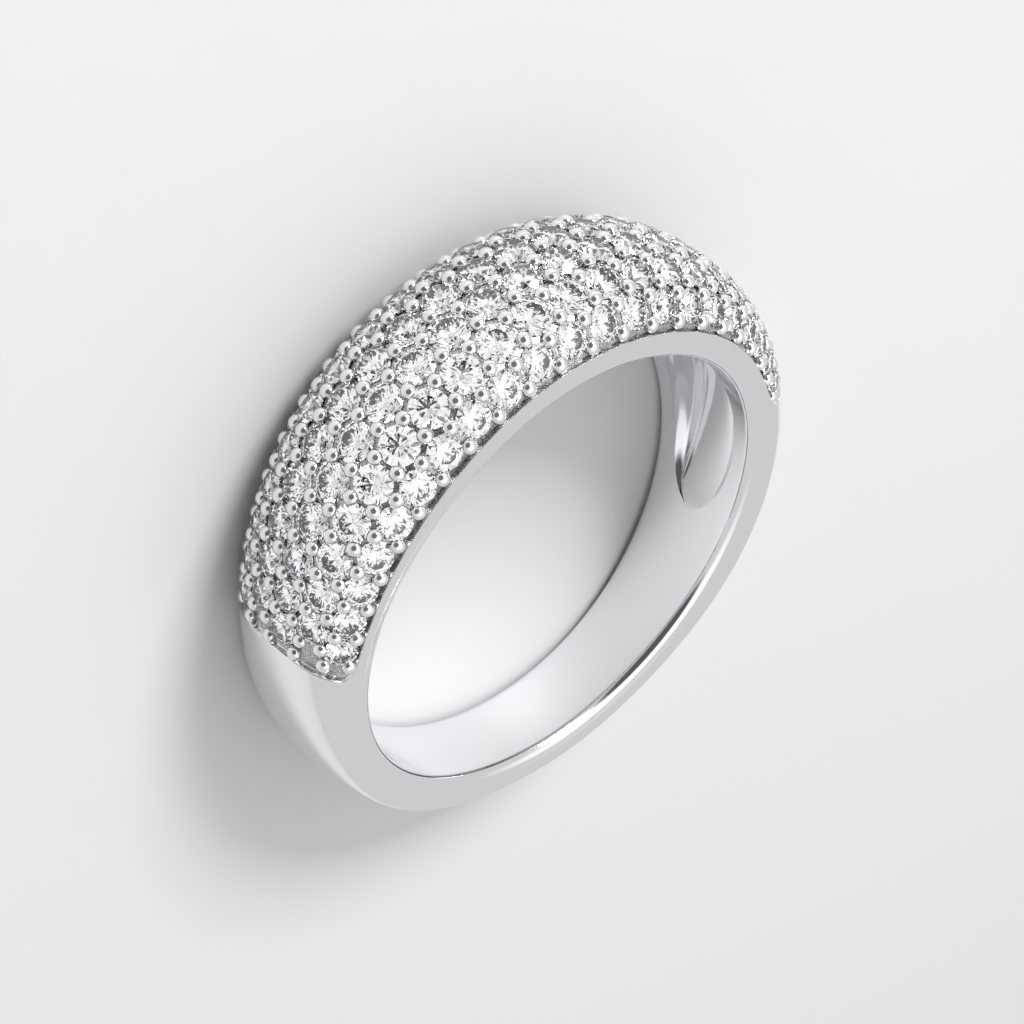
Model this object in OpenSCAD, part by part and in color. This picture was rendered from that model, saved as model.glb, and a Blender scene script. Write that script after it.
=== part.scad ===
/* [Finger hole] */
// Inside diameter of the ring
finger_d = 17.3; // [15:0.1:21]
// Radius of the rounded edge between the finger hole and the side faces
comfort_r = 0.35; // [0.2:0.05:0.45]

/* [Dome] */
// Width across the rims of the dome
dome_w = 6.4; // [5.8:0.1:8]
// Height of the dome's crown above the finger hole
crown_t = 3.3; // [2.9:0.1:4]
// Share of that height that is arch on the dome, the rest is rim
dome_arch = 0.7; // [0.6:0.02:0.76]
// Fullness of the arch, 2 is an ellipse and more is squarer
arch_power = 2.2; // [2:0.1:2.6]
// Angle from the crown at which the dome begins to narrow
narrow_from = 20; // [5:1:40]
// Amount by which the side faces lean outwards at the dome
lean_w = 0.14; // [0.05:0.01:0.25]

/* [Shank] */
// Width of the shank opposite the dome
shank_w = 3.4; // [2.6:0.1:5]
// Thickness of the shank opposite the dome
shank_t = 1.2; // [1:0.1:2]
// Share of the thickness that is arch on the shank
shank_arch = 0.14; // [0.08:0.01:0.3]
// Angle from the crown at which the shank has its own width
narrow_to = 170; // [150:1:178]
// Angle from the crown at which the arch begins to flatten
flatten_from = 60; // [40:1:80]
// Angle from the crown at which the arch is the shank's own
flatten_to = 140; // [120:1:170]

/* [Stone field] */
// Half angle of the field of stones at the crown line
field_half_angle = 75.5; // [60:0.5:84]
// How much further the field reaches along its rims
field_horn = 2; // [0:0.5:4]
// Width of the bright border between the field and the side faces
border_w = 0.1; // [0.08:0.01:0.2]
// Depth of the sunken floor between the stones
floor_drop = 0.2; // [0.12:0.02:0.3]
// Stones in the first, third and fifth row
stones_in_row = 21; // [11:2:21]
// Room between the last stones and the end of the field, in degrees
end_room = 4.2; // [4:0.2:9]
// Pitch of the stones at the ends as a share of the pitch at the crown
end_pitch = 0.86; // [0.8:0.02:0.92]

/* [Stones] */
// Gap between neighbours in a row
stone_gap = 0.12; // [0.11:0.01:0.3]
// Diameter of the stones along the rims as a share of the room they have
rim_stone = 0.97; // [0.85:0.01:1]
// Width of the table as a share of the diameter
table_share = 0.56; // [0.5:0.01:0.64]
// Height of the crown facets as a share of the diameter
crown_share = 0.15; // [0.1:0.01:0.17]
// Thickness of the girdle as a share of the diameter
girdle_share = 0.03; // [0.02:0.01:0.06]
// Depth of the pavilion as a share of the diameter
pavilion_share = 0.42; // [0.36:0.01:0.44]
// Clearance between a stone and its seat
seat_gap = 0.02; // [0.01:0.01:0.04]

/* [Prongs] */
// Diameter of the round head of a bead prong
bead_d = 0.4; // [0.3:0.01:0.42]
// Height of the head's centre above the floor
bead_lift = 0.22; // [0.2:0.01:0.28]
// Height of the centre of the heads along the rims, which stay inside the side faces
rim_bead_lift = 0.03; // [0:0.01:0.04]
// Diameter of the post below the head
post_d = 0.2; // [0.16:0.01:0.22]

/* [Inside] */
// Half angle of the hollow under the dome
hollow_half_angle = 113; // [96:1:118]
// Depth of the hollow at the crown
hollow_depth = 1.1; // [0.6:0.05:1.2]
// Width of the hollow at the crown
hollow_w = 3.4; // [2.8:0.1:3.8]
// Half angle at which the two grooves beside the middle strap end
groove_half_angle = 109; // [80:1:110]
// Extra depth of those grooves
groove_depth = 0.4; // [0.2:0.05:0.5]
// Diameter of the openings behind the second and fifth row
azure_d = 0.5; // [0.3:0.05:0.6]

/* [Hidden] */

metal = [0.83, 0.84, 0.86];
crystal = [0.92, 0.95, 0.99];
round_fn = 24;
bore_fn = 120;

bore_r = finger_d / 2;
outer_r = bore_r + (crown_t + shank_t) / 2;
outer_shift = (crown_t - shank_t) / 2;

// Across the arch a place is an angle, 0 on the crown line and 90 at the rim
row_side = [67, 36, 10.2, -10.2, -36, -67];
rim_bead_side = 80.5;
last_index = stones_in_row - 1;
stone_half_angle = field_half_angle - end_room;
pitch_gain = 3 / (2 + end_pitch);

// Steps of the faceted surfaces
field_steps = 24;
shank_steps = 20;
floor_steps = 10;
wall_angle = 0.4;
wall_side = 1.3;
step_angle = 0.5;

// The rounded inner edge, as angles from the finger hole round to the side face
edge_angles = [20, 43, 66, 90];
// How far the faceted blanks reach into the finger hole before it is bored
bore_skin = 0.3;

// The hollow from its middle to its side: [place as a share of its half width, share of its depth,
// share of the groove's depth, shift of the place where the groove runs out]
hollow_profile = [
    [0.00, 0.93, 0, 0],
    [0.32, 1.00, 0, 0.62],
    [0.40, 1.00, 1, 0.56],
    [0.72, 0.96, 1, 0.26],
    [0.84, 0.86, 0, 0.15],
    [0.94, 0.40, 0, 0.055]
];
// Powers of the curves by which the hollow gets shallower and narrower towards its ends
hollow_power = 5;
hollow_round = 8;
// Width of its tips as a share of its width, and how far the tips run on past its half angle
hollow_tip = 0.22;
hollow_overrun = 1.03;
hollow_steps = 24;
// Angle over which the grooves get shallow
groove_fade = 28;

function clamp01(u) = min(1, max(0, u));
function smooth(u) = clamp01(u) * clamp01(u) * (3 - 2 * clamp01(u));
function blend(a, b, u) = a + (b - a) * u;
function unit(v) = v / norm(v);

// Every angle a is counted from the dome's crown, s is the place across the arch
function back(a) = abs(a) > 180 ? 360 - abs(a) : abs(a);
function half_w(a) = blend(shank_w, dome_w, smooth((narrow_to - back(a)) / (narrow_to - narrow_from))) / 2;
function outline_r(a) = outer_shift * cos(a) + sqrt(outer_r * outer_r - pow(outer_shift * sin(a), 2));
function arch_share(a) = blend(shank_arch, dome_arch, smooth((flatten_to - back(a)) / (flatten_to - flatten_from)));
function arch_h(a) = (outline_r(a) - bore_r) * arch_share(a);
function across(s) = sign(s) * pow(abs(sin(s)), 2 / arch_power);
function fall(s) = 1 - pow(abs(cos(s)), 2 / arch_power);
function arch_point(a, s) = at(a, outline_r(a) - arch_h(a) * fall(s), half_w(a) * across(s));
function at(a, r, z) = [r * sin(a), -r * cos(a), z];
function outward(a, s) = unit(cross(
    arch_point(a, s + step_angle) - arch_point(a, s - step_angle),
    arch_point(a - step_angle, s) - arch_point(a + step_angle, s)));
function sunk(a, s, depth) = arch_point(a, s) - depth * outward(a, s);

function border_side(a) = acos(pow(border_w / arch_h(a), arch_power / 2));
function field_end(s) = field_half_angle + field_horn * pow(across(s), 2);

// The stones of a row lie at every second index, and the rows are staggered by one
function index_angle(k) = stone_half_angle
    * (pitch_gain * k / last_index - (pitch_gain - 1) * pow(k / last_index, 3));
function row_stones(row) = [for (k = [-last_index + row % 2 : 2 : last_index]) k];
function is_rim_row(row) = row == 0 || row == len(row_side) - 1;
function stone_room(row, k) = norm(sunk(index_angle(k + 1), row_side[row], floor_drop)
    - sunk(index_angle(k - 1), row_side[row], floor_drop));
function stone_d(row, k) = (stone_room(row, k) - stone_gap) * (is_rim_row(row) ? rim_stone : 1);

// The lowest edges of dome and shank set how far the ring tips when it lies on its side
function edge_y(a) = (outline_r(a) - arch_h(a)) * cos(a);
rest_tilt = atan(max([for (a = [0 : 1 : 120])
    (half_w(a) - half_w(180)) / (edge_y(a) - edge_y(180))]));
rest_lift = half_w(180) * cos(rest_tilt) - edge_y(180) * sin(rest_tilt);
rest_shift = outer_shift * cos(rest_tilt);

module at_rest() {
    translate([0, rest_shift, rest_lift])
        rotate([-rest_tilt, 0, 0])
            children();
}

// Quads between rings of points, each ring closed and the last joined to the first
function ring_faces(rings, per_ring) = [
    for (i = [0 : rings - 1], j = [0 : per_ring - 1])
        let (m = (i + 1) % rings, n = (j + 1) % per_ring)
            each [
                [i * per_ring + j, m * per_ring + j, m * per_ring + n],
                [i * per_ring + j, m * per_ring + n, i * per_ring + n]
            ]
];

// Half of the section below the arch: from inside the bore round the comfort edge to the side face
function foot(a) = let (
    side = half_w(a) - lean_w * arch_share(a) / dome_arch,
    edge = [for (e = edge_angles) [bore_r + comfort_r * (1 - cos(e)), side - comfort_r * (1 - sin(e))]],
    run = (edge[0][0] - bore_r + bore_skin) / tan(edge_angles[0])
) concat([[bore_r - bore_skin, edge[0][1] - run]], edge);

// One section of the band; in the field the arch between the borders is sunk to the floor
function section(end_share, in_field) = let (
    turn = function(s) in_field ? end_share * (field_end(s) - wall_angle)
        : field_end(s) + end_share * (360 - 2 * field_end(s)),
    base = foot(turn(90)),
    top = border_side(turn(90)),
    sides = [for (j = [0 : floor_steps]) (top - wall_side) * (1 - 2 * j / floor_steps)],
    depth = in_field ? floor_drop : 0
) concat(
    [for (p = base) at(turn(90), p[0], p[1])],
    [arch_point(turn(90), 90), arch_point(turn(top), top)],
    [for (s = sides) sunk(turn(s), s, depth)],
    [arch_point(turn(top), -top), arch_point(turn(90), -90)],
    [for (j = [len(base) - 1 : -1 : 0]) at(turn(90), base[j][0], -base[j][1])]
);

module band_blank() {
    field = [for (i = [0 : field_steps]) section(-1 + 2 * i / field_steps, true)];
    shank = [for (i = [0 : shank_steps]) section(i / shank_steps, false)];
    rings = concat(field, shank);
    points = [for (r = rings) each r];
    polyhedron(points, ring_faces(len(rings), len(rings[0])));
}

// The hollow under the dome leaves a strap along the middle with a groove on each side
function hollow_half_w(a) = hollow_w / 2 * max(hollow_tip,
    sqrt(max(0, 1 - pow(abs(a) / hollow_half_angle, hollow_round))));
function hollow_fall(a) = hollow_depth * (1 - pow(abs(a) / hollow_half_angle, hollow_power));
function groove_fall(a) = groove_depth * smooth((groove_half_angle - abs(a)) / groove_fade);
function hollow_point(a, p) = let (
    fade = 1 - smooth((groove_half_angle - abs(a)) / groove_fade)
) [
    bore_r + hollow_fall(a) * p[1] + groove_fall(a) * p[2],
    hollow_half_w(a) * (p[0] + p[3] * fade)
];
function hollow_section(a) = let (
    half = [for (p = hollow_profile) hollow_point(a, p)],
    wide = hollow_half_w(a),
    last = len(half) - 1
) concat(
    [[bore_r - bore_skin - floor_drop, wide], [bore_r - bore_skin / 2, wide]],
    [for (j = [last : -1 : 0]) half[j]],
    [for (j = [1 : last]) [half[j][0], -half[j][1]]],
    [[bore_r - bore_skin / 2, -wide], [bore_r - bore_skin - floor_drop, -wide]]
);

module hollow() {
    reach = hollow_half_angle * hollow_overrun;
    angles = [for (i = [0 : hollow_steps]) reach * (-1 + 2 * i / hollow_steps)];
    rings = [for (a = angles) [for (q = hollow_section(a)) at(a, q[0], q[1])]];
    n = len(rings[0]);
    last = len(rings) - 1;
    walls = [
        for (i = [0 : last - 1], j = [0 : n - 1])
            let (m = (j + 1) % n)
                each [
                    [i * n + j, (i + 1) * n + j, (i + 1) * n + m],
                    [i * n + j, (i + 1) * n + m, i * n + m]
                ]
    ];
    caps = [[for (j = [0 : n - 1]) j], [for (j = [n - 1 : -1 : 0]) last * n + j]];
    polyhedron([for (r = rings) each r], concat(walls, caps));
}

// A point at a place of the field: x runs round the ring, y across it and z outwards from the floor
function floor_frame(a, s) = let (
    n = outward(a, s),
    along = unit(cross([0, 0, 1], n))
) [sunk(a, s, floor_drop), along, cross(n, along), n];
function placed(f, p) = f[0] + p[0] * f[1] + p[1] * f[2] + p[2] * f[3];
function octagon(r, z) = [for (i = [0 : 7]) [r * cos(45 * i), r * sin(45 * i), z]];

// Many copies of one closed shape in one body, each a list of points and the same faces
module many(shapes, faces) {
    n = len(shapes[0]);
    polyhedron([for (s = shapes) each s], [
        for (i = [0 : len(shapes) - 1], f = faces)
            [for (v = f) v + i * n]
    ]);
}

// Faces of a stack of octagons, closed by a flat top and by a flat or pointed foot
function stack_faces(rings, pointed) = concat(
    [[7, 6, 5, 4, 3, 2, 1, 0]],
    [
        for (m = [0 : rings - 2], i = [0 : 7])
            [8 * m + i, 8 * m + (i + 1) % 8, 8 * m + 8 + (i + 1) % 8, 8 * m + 8 + i]
    ],
    pointed ? [for (i = [0 : 7]) [8 * rings - 8 + i, 8 * rings - 8 + (i + 1) % 8, 8 * rings]]
        : [[for (i = [0 : 7]) 8 * rings - 8 + i]]
);

// Each stone as [row, index]
all_stones = [for (row = [0 : len(row_side) - 1], k = row_stones(row)) [row, k]];
drilled_stones = [for (q = all_stones) if (q[0] == 1 || q[0] == len(row_side) - 2) q];
function stone_frame(q) = floor_frame(index_angle(q[1]), row_side[q[0]]);
function girdle_h(d) = girdle_share * d / 2;

function seat_points(q) = let (
    f = stone_frame(q),
    d = stone_d(q[0], q[1]),
    r = d / 2 + seat_gap,
    ledge = -girdle_h(d) - seat_gap
) [
    for (p = concat(octagon(r, floor_drop), octagon(r, ledge), [[0, 0, ledge - 2 * pavilion_share * r]]))
        placed(f, p)
];
function drill_points(q) = let (f = stone_frame(q), d = stone_d(q[0], q[1])) [
    for (p = concat(octagon(azure_d / 2, -girdle_h(d) - seat_gap), octagon(azure_d / 2, -crown_t / 2)))
        placed(f, p)
];

module seats() {
    many([for (q = all_stones) seat_points(q)], stack_faces(2, true));
    many([for (q = drilled_stones) drill_points(q)], stack_faces(2, false));
}

// Stones and prongs get smaller towards the ends of the field
function crowding(k) = stone_room(0, k) / stone_room(0, 0);

module prong(lift, size) {
    cylinder(h = floor_drop + lift, d = post_d * size, $fn = round_fn);
    translate([0, 0, floor_drop + lift])
        sphere(d = bead_d * size, $fn = round_fn);
}

// Stands a prong at an index and a place across the field, its foot sunk below the floor
module prong_at(k, s, lift) {
    a = index_angle(k);
    n = outward(a, s);
    translate(sunk(a, s, 2 * floor_drop))
        rotate([0, acos(n[2]), atan2(n[1], n[0])])
            prong(lift, crowding(k));
}

// Each gap between three stones holds a prong, nearer to the row that has two of the three
function prong_side(row, k) = let (
    pair_row = (k + last_index + row) % 2 == 0 ? row + 1 : row
) (row_side[pair_row] + row_side[row] + row_side[row + 1]) / 3;

module prongs() {
    ends = last_index + 1;
    for (row = [0 : len(row_side) - 2], k = [-ends : ends])
        prong_at(k, prong_side(row, k), bead_lift);
    for (k = [-ends : 2 : ends])
        prong_at(k, rim_bead_side, rim_bead_lift);
    for (k = [1 - ends : 2 : ends - 1])
        prong_at(k, -rim_bead_side, rim_bead_lift);
}

module ring_body() {
    color(metal)
        at_rest() {
            difference() {
                band_blank();
                cylinder(h = 2 * dome_w, r = bore_r, center = true, $fn = bore_fn);
                hollow();
                seats();
            }
            prongs();
        }
}

// An eight-sided brilliant: table, crown facets, girdle and pavilion down to the culet
function stone_points(q) = let (
    f = stone_frame(q),
    d = stone_d(q[0], q[1]),
    g = girdle_h(d),
    levels = concat(
        octagon(table_share * d / 2, g + crown_share * d),
        octagon(d / 2, g),
        octagon(d / 2, -g),
        [[0, 0, -g - pavilion_share * d]])
) [for (p = levels) placed(f, p)];

module stones() {
    color(crystal)
        at_rest()
            many([for (q = all_stones) stone_points(q)], stack_faces(3, true));
}

ring_body();
stones();
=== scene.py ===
# Dome ring with a field of stones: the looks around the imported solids
# The shapes are worked out in millimetres, upright on the finger hole's axis, and laid down at the end
import bpy
import bmesh
import random
from math import acos, atan, cos, degrees, pi, radians, sin, sqrt
from mathutils import Matrix, Vector


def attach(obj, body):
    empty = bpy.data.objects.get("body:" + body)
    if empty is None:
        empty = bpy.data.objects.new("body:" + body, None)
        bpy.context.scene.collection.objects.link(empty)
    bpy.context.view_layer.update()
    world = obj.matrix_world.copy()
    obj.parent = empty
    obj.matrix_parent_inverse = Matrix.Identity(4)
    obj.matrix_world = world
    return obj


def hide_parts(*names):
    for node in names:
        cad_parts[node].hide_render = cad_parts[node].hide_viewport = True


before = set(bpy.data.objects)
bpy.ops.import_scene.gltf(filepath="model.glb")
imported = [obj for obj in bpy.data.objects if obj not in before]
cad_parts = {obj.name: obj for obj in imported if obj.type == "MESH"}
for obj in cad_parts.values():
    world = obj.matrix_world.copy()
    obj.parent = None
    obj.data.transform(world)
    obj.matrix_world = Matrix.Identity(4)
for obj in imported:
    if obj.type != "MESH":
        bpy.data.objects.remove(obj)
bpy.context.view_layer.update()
print("frame loaded:", sorted(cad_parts))

ring = {
    "fingerWidth": 17.3, "comfortEdge": 0.35,
    "domeWidth": 6.4, "crownHeight": 3.3, "domeArch": 0.7, "archPower": 2.2, "sideLean": 0.14,
    "shankWidth": 3.4, "shankHeight": 1.2, "shankArch": 0.14,
    "narrowFrom": 20, "narrowTo": 170, "flattenFrom": 60, "flattenTo": 140,
    "tilt": 4.91424, "lift": 2.52315, "shift": 1.04614,  # how it lies on its side
}
field = {
    "halfAngle": 75.5, "horn": 2, "border": 0.1, "drop": 0.2,
    "rows": [67, 36, 10.2, -10.2, -36, -67], "stonesInRow": 21, "endRoom": 4.2, "endPitch": 0.86,
    "stoneGap": (0.12, 0.04), "rimStone": (0.97, 1),  # at the crown and at the ends
    "endWall": 0.4, "sideWall": 0.9,  # widths of the walls round it, in degrees
    "cornerFrom": 78, "cornerTo": 88, "cornerCut": 2.7,  # the sides at its cut corners, and the cut
}

boreRadius = ring["fingerWidth"] / 2
outerRadius = boreRadius + (ring["crownHeight"] + ring["shankHeight"]) / 2
outerShift = (ring["crownHeight"] - ring["shankHeight"]) / 2
lastIndex = field["stonesInRow"] - 1
stoneHalfAngle = field["halfAngle"] - field["endRoom"]
layDown = (Matrix.Translation((0, ring["shift"] / 1000, ring["lift"] / 1000))
           @ Matrix.Rotation(radians(-ring["tilt"]), 4, "X") @ Matrix.Scale(0.001, 4))


def smoothStep(u):
    u = min(1, max(0, u))
    return u * u * (3 - 2 * u)


def mixed(a, b, u):
    return a + (b - a) * u


# Angles in degrees: turn is counted from the crown round the finger,
# side is 0 on the crown line and 90 at the rim
def backTurn(turn):
    return 360 - abs(turn) if abs(turn) > 180 else abs(turn)


def halfWidth(turn):
    share = smoothStep((ring["narrowTo"] - backTurn(turn)) / (ring["narrowTo"] - ring["narrowFrom"]))
    return mixed(ring["shankWidth"], ring["domeWidth"], share) / 2


def outlineRadius(turn):
    t = radians(turn)
    return outerShift * cos(t) + sqrt(outerRadius ** 2 - (outerShift * sin(t)) ** 2)


def archShare(turn):
    share = smoothStep((ring["flattenTo"] - backTurn(turn)) / (ring["flattenTo"] - ring["flattenFrom"]))
    return mixed(ring["shankArch"], ring["domeArch"], share)


def archHeight(turn):
    return (outlineRadius(turn) - boreRadius) * archShare(turn)


def across(side):
    s = sin(radians(side))
    return (1 if s >= 0 else -1) * abs(s) ** (2 / ring["archPower"])


def onRing(turn, radius, height):
    t = radians(turn)
    return Vector((radius * sin(t), -radius * cos(t), height))


def archPoint(turn, side):
    fall = 1 - abs(cos(radians(side))) ** (2 / ring["archPower"])
    return onRing(turn, outlineRadius(turn) - archHeight(turn) * fall, halfWidth(turn) * across(side))


def outwards(turn, side):
    step = 0.5
    bySide = archPoint(turn, side + step) - archPoint(turn, side - step)
    byTurn = archPoint(turn - step, side) - archPoint(turn + step, side)
    return bySide.cross(byTurn).normalized()


def sunkPoint(turn, side, depth):
    return archPoint(turn, side) - depth * outwards(turn, side)


def borderSide(turn):
    return degrees(acos((field["border"] / archHeight(turn)) ** (ring["archPower"] / 2)))


def fieldEnd(side):
    first, last = field["cornerFrom"], field["cornerTo"]
    corner = max(0, (min(abs(side), last) - first) / (last - first))
    return field["halfAngle"] + field["horn"] * across(side) ** 2 - field["cornerCut"] * corner


def indexTurn(k):
    gain = 3 / (2 + field["endPitch"])
    share = k / lastIndex
    return stoneHalfAngle * (gain * share - (gain - 1) * share ** 3)


def stoneRoom(row, k):
    after, before = (sunkPoint(indexTurn(n), field["rows"][row], field["drop"]) for n in (k + 1, k - 1))
    return (after - before).length


def stoneWidth(row, k):
    share = (k / lastIndex) ** 2
    room = stoneRoom(row, k) - mixed(*field["stoneGap"], share)
    return room * mixed(*field["rimStone"], share) if row in (0, len(field["rows"]) - 1) else room


def standing(turn, side, depth):
    out = outwards(turn, side)
    along = Vector((0, 0, 1)).cross(out).normalized()
    over = out.cross(along)
    place = sunkPoint(turn, side, depth)
    return Matrix(((along.x, over.x, out.x, place.x), (along.y, over.y, out.y, place.y),
                   (along.z, over.z, out.z, place.z), (0, 0, 0, 1)))


# The stones of a row lie at every second index, and the rows are staggered by one
allStones = [(row, k) for row in range(len(field["rows"]))
             for k in range(-lastIndex + row % 2, lastIndex + 1, 2)]


# The metal body: shank, dome, sunken field, stone seats and hollowed back in one skin
band = {
    "fieldSteps": 190, "shankSteps": 190, "floorSteps": 34,
    "hollowHalfAngle": 113, "hollowDepth": 1.1, "hollowWidth": 3.4,
    "hollowPower": 6.5, "hollowRound": 8, "hollowTip": 0.1,  # how it gets shallow and narrow to its ends
    "grooveHalfAngle": 109, "grooveDepth": 0.4, "grooveFade": 28, "groovePower": 0.75, "shiftPower": 0.6,
    # across the hollow: place, share of its depth, share of the groove, shift where the groove runs out
    "hollowProfile": [
        (0, 0.93, 0, 0), (0.12, 0.935, 0, 0.2), (0.24, 0.95, 0, 0.39), (0.34, 0.985, 0, 0.55),
        (0.37, 1, 0, 0.56), (0.39, 1, 0.08, 0.55), (0.41, 1, 0.4, 0.54), (0.435, 1, 0.85, 0.525),
        (0.46, 1, 0.98, 0.505), (0.54, 0.99, 1, 0.43), (0.63, 0.97, 1, 0.345), (0.7, 0.96, 0.96, 0.277),
        (0.745, 0.94, 0.75, 0.236), (0.785, 0.91, 0.3, 0.199), (0.82, 0.87, 0.03, 0.167),
        (0.86, 0.75, 0, 0.13), (0.9, 0.57, 0, 0.093), (0.94, 0.35, 0, 0.055), (0.975, 0.12, 0, 0.023),
        (1, 0, 0, 0)],
    # the inner edge's rounding in degrees, and shares of the flat beside the hollow and of the side face
    "edgeAngles": (0, 5, 11, 18, 25, 32, 39, 46, 53, 60, 67, 74, 80, 85, 90),
    "flatShares": (0.06, 0.3, 0.6, 0.85), "faceShares": (0.1, 0.25, 0.4, 0.55, 0.7, 0.85, 0.95),
    "wallShares": (0, 0.15, 0.3, 0.5, 0.7, 0.85, 1),
    "seatRoom": 0.015, "seatTop": 0.15, "seatSteps": 28, "girdle": 0.03, "pavilion": 0.42,
    "azureRows": (1, 4), "azureWidth": 0.5, "azureDepth": 1.9,  # openings drilled on to the hollow
    "faceCrown": 0.03,  # how far the side faces bulge between their edges
    "sharpAngle": 38,
}


def hollowPoint(turn, row):
    place, depthShare, grooveShare, shift = row
    off = backTurn(turn)
    share = min(1, off / band["hollowHalfAngle"])
    wide = band["hollowWidth"] / 2 * max(band["hollowTip"], sqrt(1 - share ** band["hollowRound"]))
    depth = band["hollowDepth"] * (1 - share ** band["hollowPower"])
    run = min(1, max(0, (band["grooveHalfAngle"] - off) / band["grooveFade"]))
    groove = band["grooveDepth"] * run ** band["groovePower"]
    return (boreRadius + depth * depthShare + groove * grooveShare,
            wide * (place + shift * (1 - run ** band["shiftPower"])))


def lowerHalf(turn):
    side = halfWidth(turn) - ring["sideLean"] * archShare(turn) / ring["domeArch"]
    edge = ring["comfortEdge"]
    hollow = [hollowPoint(turn, row) for row in band["hollowProfile"]]
    start = hollow[-1][1]
    flat = [(boreRadius, mixed(start, side - edge, u)) for u in band["flatShares"]]
    rounded = [(boreRadius + edge * (1 - cos(radians(e))), side - edge * (1 - sin(radians(e))))
               for e in band["edgeAngles"]]
    top = outlineRadius(turn) - archHeight(turn)
    crown = band["faceCrown"] * min(1, backTurn(turn) / 90)
    face = [(mixed(boreRadius + edge, top, u), mixed(side, halfWidth(turn), u) + crown * 4 * u * (1 - u))
            for u in band["faceShares"]]
    return hollow + flat + rounded + face


def bandStations():
    walls = (1, 0.82, 0.64, 0.46, 0.3, 0.15, 0)
    inner = [mixed(-1, 1, i / band["fieldSteps"]) for i in range(band["fieldSteps"] + 1)]
    stations = [("wall", -1, w) for w in reversed(walls)] + [("floor", f, 1) for f in inner[1:-1]]
    stations += [("wall", 1, w) for w in walls]
    near = (0.0008, 0.002, 0.004)
    even = [i / band["shankSteps"] for i in range(1, band["shankSteps"])]
    return stations + [("shank", share, 0) for share in (*near, *even, *[1 - n for n in reversed(near)])]


def stationTurn(station, side):
    kind, share, wall = station
    if kind == "shank":
        return fieldEnd(side) + share * (360 - 2 * fieldEnd(side))
    return share * (fieldEnd(side) - field["endWall"] * wall)


def bandSection(station):
    turn = stationTurn(station, 90)
    lower = lowerHalf(turn)
    top = borderSide(turn)
    wallShares = band["wallShares"]
    floorSide = top - field["sideWall"]
    border = [(90, 0), (mixed(90, top, 0.3), 0), (mixed(90, top, 0.65), 0)]
    upper = border + [(top - field["sideWall"] * w, smoothStep(w)) for w in wallShares]
    upper += [(floorSide * (1 - 2 * j / band["floorSteps"]), 1) for j in range(1, band["floorSteps"])]
    upper += [(-side, drop) for side, drop in reversed(upper[:len(border) + len(wallShares)])]
    endDrop = smoothStep(station[2])
    points = [onRing(turn, radius, height) for radius, height in lower]
    for side, drop in upper:
        points.append(sunkPoint(stationTurn(station, side), side, field["drop"] * min(drop, endDrop)))
    points += [onRing(turn, radius, -height) for radius, height in reversed(lower[1:])]
    floor = range(len(lower) + len(border), len(lower) + len(upper) - len(border))
    return points, floor


def makeBand():
    stations = bandStations()
    sections = [bandSection(station) for station in stations]
    rings, places = len(sections), len(sections[0][0])
    bm = bmesh.new()
    bmesh.ops.create_grid(bm, x_segments=rings, y_segments=places, size=1)
    spots = {}
    for vert in bm.verts:
        i = round((vert.co.x + 1) / 2 * rings)
        j = round((vert.co.y + 1) / 2 * places)
        spots[vert] = (i, j)
    for face in bm.faces:
        i = min(spots[v][0] for v in face.verts)
        j = min(spots[v][1] for v in face.verts)
        onFloor = stations[i][2] == 1 and stations[(i + 1) % rings][2] == 1
        face.material_index = 1 if onFloor and j in sections[i][1] and j + 1 in sections[i][1] else 0
        face.smooth = True
    for vert, (i, j) in spots.items():
        vert.co = sections[i % rings][0][j % places]
    # closes the grid round the finger and round the section
    bmesh.ops.remove_doubles(bm, verts=bm.verts, dist=0.0001)
    bmesh.ops.recalc_face_normals(bm, faces=bm.faces)
    return bm


def makeSeats():
    bm = bmesh.new()
    for row, k in allStones:
        width = stoneWidth(row, k)
        radius = width / 2 + band["seatRoom"]
        ledge = -band["girdle"] * width / 2 - band["seatRoom"]
        top = field["drop"] + band["seatTop"]
        profile = [(0, top), (radius, top), (radius, ledge)]
        if row in band["azureRows"]:
            hole = band["azureWidth"] / 2
            deep = -band["azureDepth"]
            profile += [(hole, ledge - 2 * band["pavilion"] * (radius - hole)), (hole, deep), (0, deep)]
        else:
            profile += [(0, ledge - 2 * band["pavilion"] * radius)]
        verts = [bm.verts.new((x, 0, z)) for x, z in profile]
        edges = [bm.edges.new(pair) for pair in zip(verts, verts[1:])]
        bmesh.ops.spin(bm, geom=verts + edges, cent=(0, 0, 0), axis=(0, 0, 1), angle=2 * pi,
                       steps=band["seatSteps"], use_merge=True)
        fresh = [v for v in bm.verts if not v.tag]
        bmesh.ops.transform(bm, matrix=standing(indexTurn(k), field["rows"][row], field["drop"]), verts=fresh)
        for v in fresh:
            v.tag = True
    bmesh.ops.remove_doubles(bm, verts=bm.verts, dist=0.0001)
    bmesh.ops.recalc_face_normals(bm, faces=bm.faces)
    return bm


def newPiece(name, bm, materials):
    mesh = bpy.data.meshes.new(name)
    bm.to_mesh(mesh)
    bm.free()
    piece = bpy.data.objects.new(name, mesh)
    bpy.context.scene.collection.objects.link(piece)
    for material in materials:
        mesh.materials.append(material)
    return piece


def newMaterial(name):
    material = bpy.data.materials.new(name)
    material.use_nodes = True
    tree = material.node_tree
    return material, tree.nodes, tree.links, tree.nodes["Principled BSDF"]


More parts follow.
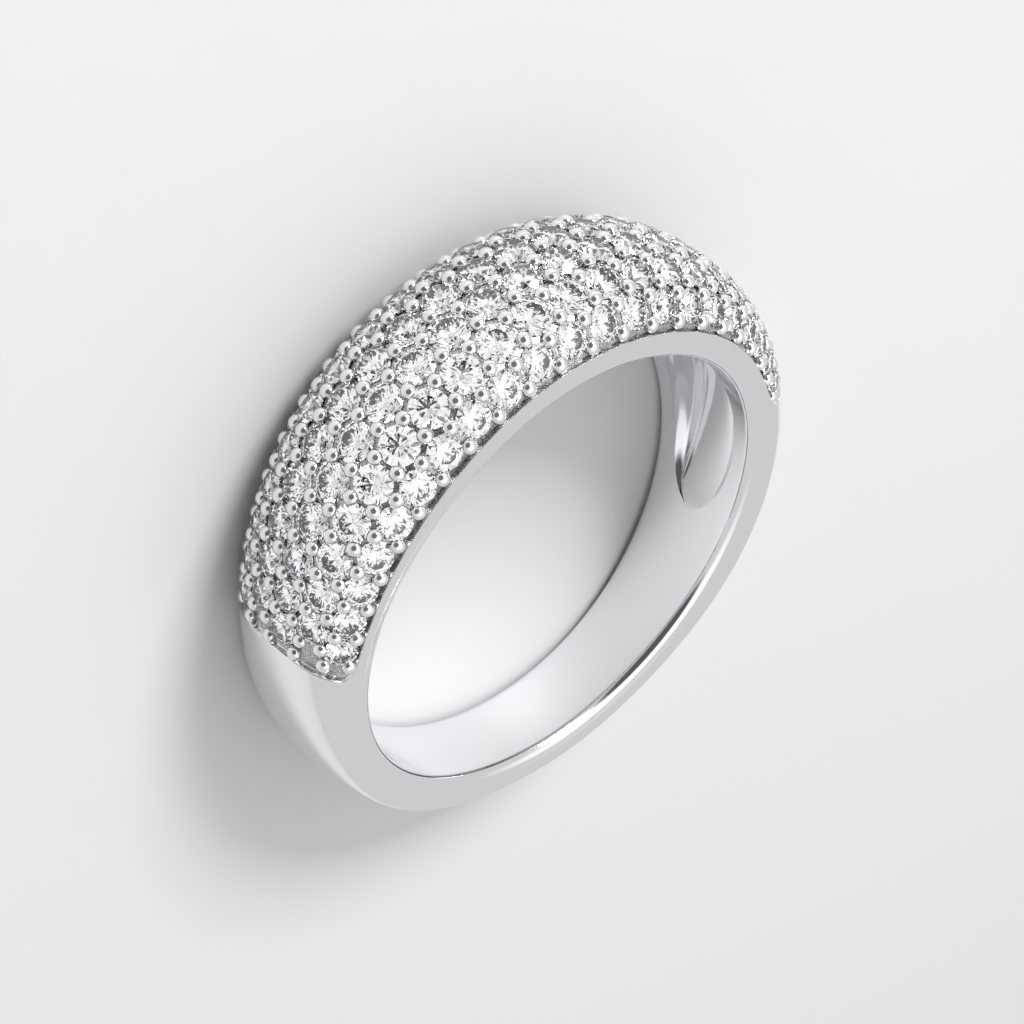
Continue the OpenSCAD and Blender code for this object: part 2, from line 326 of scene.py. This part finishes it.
def makePolishMarks():
    group = bpy.data.node_groups.new("polishMarks", "ShaderNodeTree")
    sockets = (("Place", "Vector", "INPUT"), ("Scale", "Float", "INPUT"),
               ("Haze", "Float", "OUTPUT"), ("Height", "Float", "OUTPUT"))
    for label, kind, inOut in sockets:
        group.interface.new_socket(label, in_out=inOut, socket_type="NodeSocket" + kind)
    nodes, links = group.nodes, group.links
    start, end = nodes.new("NodeGroupInput"), nodes.new("NodeGroupOutput")
    broad = nodes.new("ShaderNodeTexNoise")
    broad.inputs["Detail"].default_value = 3
    fine = nodes.new("ShaderNodeTexNoise")
    fine.inputs["Detail"].default_value = 5
    fine.inputs["Roughness"].default_value = 0.6
    finer = nodes.new("ShaderNodeMath")
    finer.operation = "MULTIPLY"
    finer.inputs[1].default_value = 6  # how many times closer the fine marks are
    blend = nodes.new("ShaderNodeMix")
    blend.inputs["Factor"].default_value = 0.25
    links.new(start.outputs["Place"], broad.inputs["Vector"])
    links.new(start.outputs["Place"], fine.inputs["Vector"])
    links.new(start.outputs["Scale"], broad.inputs["Scale"])
    links.new(start.outputs["Scale"], finer.inputs[0])
    links.new(finer.outputs["Value"], fine.inputs["Scale"])
    links.new(broad.outputs["Fac"], blend.inputs["A"])
    links.new(fine.outputs["Fac"], blend.inputs["B"])
    links.new(fine.outputs["Fac"], end.inputs["Haze"])
    links.new(blend.outputs["Result"], end.inputs["Height"])
    return group


polishMarks = makePolishMarks()


def metalMaterial(name, tone, scale, haze, relief, darken=None, metallic=1):
    material, nodes, links, shader = newMaterial(name)
    shader.inputs["Metallic"].default_value = metallic
    shader.inputs["Base Color"].default_value = (*tone, 1)
    place = nodes.new("ShaderNodeTexCoord")
    marks = nodes.new("ShaderNodeGroup")
    marks.node_tree = polishMarks
    marks.inputs["Scale"].default_value = scale
    spread = nodes.new("ShaderNodeMapRange")
    spread.inputs["From Min"].default_value = 0.3
    spread.inputs["From Max"].default_value = 0.7
    spread.inputs["To Min"].default_value, spread.inputs["To Max"].default_value = haze
    bump = nodes.new("ShaderNodeBump")
    bump.inputs["Strength"].default_value = 1
    bump.inputs["Distance"].default_value = relief
    links.new(place.outputs["Object"], marks.inputs["Place"])
    links.new(marks.outputs["Haze"], spread.inputs["Value"])
    links.new(spread.outputs["Result"], shader.inputs["Roughness"])
    links.new(marks.outputs["Height"], bump.inputs["Height"])
    links.new(bump.outputs["Normal"], shader.inputs["Normal"])
    if darken:
        ramp = nodes.new("ShaderNodeValToRGB")
        ramp.color_ramp.elements[0].position, ramp.color_ramp.elements[1].position = 0.4, 0.6
        ramp.color_ramp.elements[0].color = (*darken, 1)
        ramp.color_ramp.elements[1].color = (*tone, 1)
        links.new(marks.outputs["Haze"], ramp.inputs["Fac"])
        links.new(ramp.outputs["Color"], shader.inputs["Base Color"])
    return material


# tone, marks to the metre, roughness at its least and most, height of the marks in metres
polishedMetal = metalMaterial("polishedWhiteGold", (0.9, 0.906, 0.918), 500, (0.07, 0.13), 0.0000012)
grainyMetal = metalMaterial("grainyFieldFloor", (0.76, 0.765, 0.775), 4200, (0.18, 0.4), 0.000025,
                            darken=(0.24, 0.245, 0.25))
beadMetal = metalMaterial("burnishedBeads", (0.9, 0.905, 0.915), 1500, (0.06, 0.12), 0.0000008,
                          metallic=0.93)


def stoneMaterial():
    material, nodes, links, shader = newMaterial("clearBrilliant")
    shader.inputs["Transmission Weight"].default_value = 1
    shader.inputs["IOR"].default_value = 2.42
    place = nodes.new("ShaderNodeTexCoord")
    tint = nodes.new("ShaderNodeTexNoise")
    tint.inputs["Scale"].default_value = 700
    ramp = nodes.new("ShaderNodeValToRGB")
    ramp.color_ramp.elements[0].color = (0.955, 0.965, 0.985, 1)
    ramp.color_ramp.elements[1].color = (1, 1, 1, 1)
    haze = nodes.new("ShaderNodeMapRange")
    haze.inputs["To Min"].default_value, haze.inputs["To Max"].default_value = 0, 0.02
    links.new(place.outputs["Object"], tint.inputs["Vector"])
    links.new(tint.outputs["Fac"], ramp.inputs["Fac"])
    links.new(ramp.outputs["Color"], shader.inputs["Base Color"])
    links.new(tint.outputs["Fac"], haze.inputs["Value"])
    links.new(haze.outputs["Result"], shader.inputs["Roughness"])
    return material


clearStone = stoneMaterial()

bandPiece = newPiece("band", makeBand(), [polishedMetal, grainyMetal])
seatTool = newPiece("seatTool", makeSeats(), [])
cut = bandPiece.modifiers.new("seats", "BOOLEAN")
cut.object = seatTool
cut.operation = "DIFFERENCE"
cut.solver = "EXACT"
bpy.context.view_layer.objects.active = bandPiece
bpy.ops.object.modifier_apply(modifier="seats")
bpy.data.objects.remove(seatTool)
bandPiece.data.transform(layDown)
bandPiece.data.set_sharp_from_angle(angle=radians(band["sharpAngle"]))
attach(bandPiece, "root")
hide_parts("ring_body")
print("band made:", len(bandPiece.data.polygons), "faces")


# Round heads raised from the field's floor, each held on to the stones round it
prong = {"width": 0.56, "tall": 0.82, "lift": 0.07, "post": 0.3, "postDepth": 0.1,
         "sidesRound": 14, "sidesHigh": 8, "rimSide": 80.5, "rimLift": 0.05, "rimStretch": 1.05}


def prongShape():
    bm = bmesh.new()
    bmesh.ops.create_uvsphere(bm, u_segments=prong["sidesRound"], v_segments=prong["sidesHigh"],
                              radius=prong["width"] / 2)
    bmesh.ops.bisect_plane(bm, geom=bm.verts[:] + bm.edges[:] + bm.faces[:], dist=0.0001,
                           plane_co=(0, 0, -0.001), plane_no=(0, 0, 1), clear_inner=True)
    bmesh.ops.scale(bm, verts=bm.verts, vec=(1, 1, prong["tall"]))
    bmesh.ops.translate(bm, verts=bm.verts, vec=(0, 0, prong["lift"]))
    rim = [e for e in bm.edges if e.is_boundary]
    foot = bmesh.ops.extrude_edge_only(bm, edges=rim)["geom"]
    footVerts = [v for v in foot if isinstance(v, bmesh.types.BMVert)]
    shrink = prong["post"] / prong["width"]
    bmesh.ops.scale(bm, verts=footVerts, vec=(shrink, shrink, 1))
    bmesh.ops.translate(bm, verts=footVerts, vec=(0, 0, -prong["lift"] - prong["postDepth"]))
    bmesh.ops.holes_fill(bm, edges=[e for e in bm.edges if e.is_boundary])
    bmesh.ops.recalc_face_normals(bm, faces=bm.faces)
    for face in bm.faces:
        face.smooth = len(face.verts) < 5  # the foot that closes it stays flat
    mesh = bpy.data.meshes.new("prongShape")
    bm.to_mesh(mesh)
    bm.free()
    return mesh


def addCopy(bm, mesh, matrix):
    before = len(bm.verts)
    bm.from_mesh(mesh)
    bm.verts.ensure_lookup_table()
    bmesh.ops.transform(bm, matrix=matrix, verts=bm.verts[before:])


def makeProngs():
    shape = prongShape()
    bm = bmesh.new()
    ends = lastIndex + 1
    full = stoneRoom(0, 0)
    for row in range(len(field["rows"]) - 1):
        for k in range(-ends, ends + 1):
            pairRow = row + 1 if (k + lastIndex + row) % 2 == 0 else row
            side = (field["rows"][pairRow] + field["rows"][row] + field["rows"][row + 1]) / 3
            if abs(k) == ends:
                side = (field["rows"][row] + field["rows"][row + 1]) / 2
            size = sqrt(stoneRoom(0, k) / full)
            addCopy(bm, shape, standing(indexTurn(k), side, field["drop"]) @ Matrix.Scale(size, 4))
    for rim, ks in ((1, range(-ends, ends + 1, 2)), (-1, range(1 - ends, ends, 2))):
        for k in ks:
            size = sqrt(stoneRoom(0, k) / full)
            stretch = Matrix.Diagonal((size, size * prong["rimStretch"], size, 1))
            depth = field["drop"] + prong["lift"] - prong["rimLift"]
            addCopy(bm, shape, standing(indexTurn(k), rim * prong["rimSide"], depth) @ stretch)
    bpy.data.meshes.remove(shape)
    bmesh.ops.transform(bm, matrix=layDown, verts=bm.verts)
    return bm


prongPiece = newPiece("prongs", makeProngs(), [beadMetal])
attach(prongPiece, "root")
print("prongs made:", len(prongPiece.data.polygons), "faces")


# Round brilliants of 57 facets; sizes are shares of the stone's width
stone = {"table": 0.56, "crown": 0.15, "girdle": 0.03, "pavilion": 0.42, "star": 0.375, "lowerTip": 0.115,
         "mostSpin": 45, "mostLean": 1.2, "seed": 11}


def cutFacet(bm, slope, azimuth, distance):
    s, a = radians(slope), radians(azimuth)
    normal = Vector((cos(a) * sin(s), sin(a) * sin(s), cos(s)))
    made = bmesh.ops.bisect_plane(bm, geom=bm.verts[:] + bm.edges[:] + bm.faces[:], dist=0.00001,
                                  plane_co=normal * distance, plane_no=normal, clear_outer=True)
    edges = [g for g in made["geom_cut"] if isinstance(g, bmesh.types.BMEdge)]
    if edges:
        bmesh.ops.contextual_create(bm, geom=edges)


def stoneShape():
    bm = bmesh.new()
    bmesh.ops.create_cone(bm, cap_ends=True, segments=16, radius1=0.5, radius2=0.5, depth=2)
    girdle = stone["girdle"] / 2
    top = girdle + stone["crown"]
    tableRadius = stone["table"] / 2
    c11, c22 = cos(radians(11.25)), cos(radians(22.5))
    bezel = stone["crown"] / (0.5 - tableRadius)
    star = stone["star"]
    meet = (0.5 - c22 * star) * bezel  # the height at which bezels, star and girdle facets meet
    starSlope = (stone["crown"] - meet) / (star - tableRadius * c22)
    upperSlope = meet / (0.5 * c11 - c11 * star)
    main = stone["pavilion"] / 0.5
    tip = stone["lowerTip"]
    lowerSlope = (0.5 - c22 * tip) * main / (0.5 * c11 - c11 * tip)

    cutFacet(bm, 0, 0, top)
    # how many, degrees of the first, slope, a point on it by radius and height, above the girdle or under it
    facets = [(8, 0, bezel, 0.5, girdle, True), (8, 22.5, starSlope, tableRadius * c22, top, True),
              (16, 11.25, upperSlope, 0.5 * c11, girdle, True), (8, 0, main, 0.5, girdle, False),
              (16, 11.25, lowerSlope, 0.5 * c11, girdle, False)]
    for count, first, slope, radius, height, above in facets:
        angle = atan(slope)
        lean = degrees(angle) if above else 180 - degrees(angle)
        for n in range(count):
            cutFacet(bm, lean, 360 / count * n + first, radius * sin(angle) + height * cos(angle))
    bmesh.ops.recalc_face_normals(bm, faces=bm.faces)
    mesh = bpy.data.meshes.new("stoneShape")
    bm.to_mesh(mesh)
    bm.free()
    print("brilliant cut:", len(mesh.polygons), "facets")
    return mesh


def makeStones():
    shape = stoneShape()
    chance = random.Random(stone["seed"])
    bm = bmesh.new()
    for row, k in allStones:
        spin = Matrix.Rotation(radians(chance.uniform(0, stone["mostSpin"])), 4, "Z")
        most = stone["mostLean"]
        leanX, leanY = (Matrix.Rotation(radians(chance.uniform(-most, most)), 4, axis) for axis in "XY")
        addCopy(bm, shape, standing(indexTurn(k), field["rows"][row], field["drop"]) @ (leanX @ leanY) @ spin
                @ Matrix.Scale(stoneWidth(row, k), 4))
    bpy.data.meshes.remove(shape)
    bmesh.ops.transform(bm, matrix=layDown, verts=bm.verts)
    return bm


stonePiece = newPiece("brilliants", makeStones(), [clearStone])
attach(stonePiece, "root")
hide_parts("stones")
print("stones made:", len(stonePiece.data.polygons), "faces")


# Pale floor, light tent and the camera of the photograph
studio = {
    "floorSize": 0.8, "floorTone": (0.71, 0.715, 0.72), "behind": 0.8,
    "keyPlace": (-0.14, -0.24, 0.2), "keySize": (0.12, 0.12), "keyPower": 0.95,
    # the tent's brightness, then its patches: towards, degrees in full, degrees to the soft edge, brightness
    # the dark one is the gap in the tent's front, which gives each bead its dark spot
    "tent": (0.66, [((0, 0, 1), 15, 55, 1.2), ((0.457, -0.63, 0.628), 27, 40, 0.1)]),
    # what shines back out of the stones: more light from overhead and fewer dark places
    "stoneTent": (1.2, [((-0.5, 0.2, 1), 10, 50, 1.65), ((0.457, -0.63, 0.628), 9, 16, 0.12),
                        ((0.9, 0.3, 0.3), 10, 30, 0.6), ((-0.2, -0.9, -0.1), 10, 30, 0.65)]),
    "lens": 77.23, "distance": (-0.4467, 1.0343, 76.2586),
    "axes": ((-0.7541, 0.6552, -0.0448), (-0.472, -0.4933, 0.7306), (0.4566, 0.5721, 0.6813)),
}


def makeFloor():
    bm = bmesh.new()
    bmesh.ops.create_grid(bm, x_segments=4, y_segments=4, size=studio["floorSize"] / 2)
    material, nodes, links, shader = newMaterial("paleFloor")
    shader.inputs["Base Color"].default_value = (*studio["floorTone"], 1)
    shader.inputs["Roughness"].default_value = 0.6
    place = nodes.new("ShaderNodeTexCoord")
    grain = nodes.new("ShaderNodeTexNoise")
    grain.inputs["Scale"].default_value = 400
    bump = nodes.new("ShaderNodeBump")
    bump.inputs["Distance"].default_value = 0.00002
    links.new(place.outputs["Object"], grain.inputs["Vector"])
    links.new(grain.outputs["Fac"], bump.inputs["Height"])
    links.new(bump.outputs["Normal"], shader.inputs["Normal"])
    floor = newPiece("floor", bm, [material])


def toWorld(x, y, z):
    return Matrix.Rotation(radians(-ring["tilt"]), 3, "X") @ Vector((x, -z, y))


def makeCamera():
    rows = [Vector(row) for row in studio["axes"]]
    place = sum((row * d for row, d in zip(rows, studio["distance"])), Vector())
    right, up, back = (toWorld(*row) for row in rows)
    spot = toWorld(*place) / 1000 + Vector((0, ring["shift"], ring["lift"])) / 1000
    data = bpy.data.cameras.new("camera")
    data.lens = studio["lens"]
    data.sensor_width = 36
    data.clip_start = 0.001
    camera = bpy.data.objects.new("camera", data)
    camera.matrix_world = Matrix(((right.x, up.x, back.x, spot.x), (right.y, up.y, back.y, spot.y),
                                  (right.z, up.z, back.z, spot.z), (0, 0, 0, 1)))
    bpy.context.scene.collection.objects.link(camera)
    bpy.context.scene.camera = camera


def addSoftbox(name, place, size, power):
    data = bpy.data.lights.new(name, "AREA")
    data.shape = "RECTANGLE"
    data.size, data.size_y = size
    data.energy = power
    light = bpy.data.objects.new(name, data)
    light.location = place
    light.rotation_euler = (-Vector(place)).to_track_quat("-Z", "Y").to_euler()
    bpy.context.scene.collection.objects.link(light)


def tentTone(nodes, links, place, brightness, patches):
    last = None
    for towards, full, edge, tone in patches:
        facing = nodes.new("ShaderNodeVectorMath")
        facing.operation = "DOT_PRODUCT"
        facing.inputs[1].default_value = Vector(towards).normalized()
        soft = nodes.new("ShaderNodeMapRange")
        soft.interpolation_type = "SMOOTHSTEP"
        soft.inputs["From Min"].default_value = cos(radians(edge))
        soft.inputs["From Max"].default_value = cos(radians(full))
        blend = nodes.new("ShaderNodeMix")
        blend.inputs["A"].default_value = brightness
        blend.inputs["B"].default_value = tone
        links.new(place.outputs["Generated"], facing.inputs[0])
        links.new(facing.outputs["Value"], soft.inputs["Value"])
        links.new(soft.outputs["Result"], blend.inputs["Factor"])
        if last:
            links.new(last.outputs["Result"], blend.inputs["A"])
        last = blend
    return last.outputs["Result"]


def makeTent():
    world = bpy.data.worlds.new("lightTent")
    world.use_nodes = True
    nodes, links = world.node_tree.nodes, world.node_tree.links
    place = nodes.new("ShaderNodeTexCoord")
    ray = nodes.new("ShaderNodeLightPath")
    byStone = nodes.new("ShaderNodeMix")
    seen = nodes.new("ShaderNodeMix")
    seen.inputs["B"].default_value = studio["behind"]
    links.new(ray.outputs["Is Transmission Ray"], byStone.inputs["Factor"])
    links.new(tentTone(nodes, links, place, *studio["tent"]), byStone.inputs["A"])
    links.new(tentTone(nodes, links, place, *studio["stoneTent"]), byStone.inputs["B"])
    links.new(ray.outputs["Is Camera Ray"], seen.inputs["Factor"])
    links.new(byStone.outputs["Result"], seen.inputs["A"])
    links.new(seen.outputs["Result"], nodes["Background"].inputs["Strength"])
    nodes["Background"].inputs["Color"].default_value = (0.99, 0.995, 1, 1)
    bpy.context.scene.world = world


makeFloor()
makeCamera()
makeTent()
addSoftbox("keyLight", studio["keyPlace"], studio["keySize"], studio["keyPower"])
bpy.context.scene.view_settings.view_transform = "Standard"
print("studio set")
